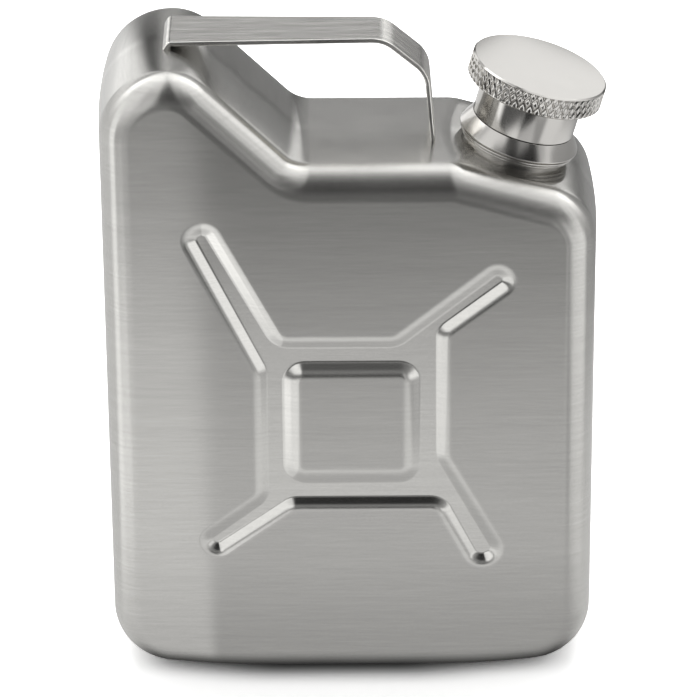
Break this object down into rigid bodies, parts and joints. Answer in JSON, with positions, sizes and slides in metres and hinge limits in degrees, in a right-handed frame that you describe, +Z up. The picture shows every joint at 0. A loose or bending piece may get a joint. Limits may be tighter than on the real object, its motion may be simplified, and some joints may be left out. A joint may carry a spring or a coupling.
{
  "type": "hip flask",
  "caption": "Small stainless steel hip flask shaped like a fuel can, with a pressed cross on each face, a knurled screw cap and a strap handle over the dip.",
  "frame": {"origin": "middle of the footprint of the whole part, at the base it stands on", "axes": "+Z up, +X towards the side with the neck and cap, -Y out of the front face"},
  "size_m": [0.072, 0.0294, 0.0979],
  "materials": {
    "brushed_steel": "stainless steel with a fine horizontal brushed grain, satin on the edges",
    "polished_steel": "turned and polished stainless steel, knurled round the cap's head",
    "silicone": "matt translucent white silicone"
  },
  "bodies": {
    "flask": {"front_shell": "brushed_steel", "back_shell": "brushed_steel", "neck": "polished_steel", "handle": "brushed_steel"},
    "seal": {"cap_gasket": "silicone"},
    "cap": {"cap": "polished_steel"}
  },
  "joints": [
    {"name": "cap_lift", "type": "slide", "parent": "flask", "child": "seal", "axis": [0.274, 0, 0.9617], "range_m": [0, 0.006]},
    {"name": "cap_turn", "type": "hinge", "parent": "seal", "child": "cap", "pos_m": [0.02316, 0, 0.07956], "axis": [0.274, 0, 0.9617], "range_deg": [0, 1440]}
  ],
  "couplings": [
    {"joint": "cap_lift", "follows": "cap_turn", "m_per_rad": 0.00023873}
  ]
}
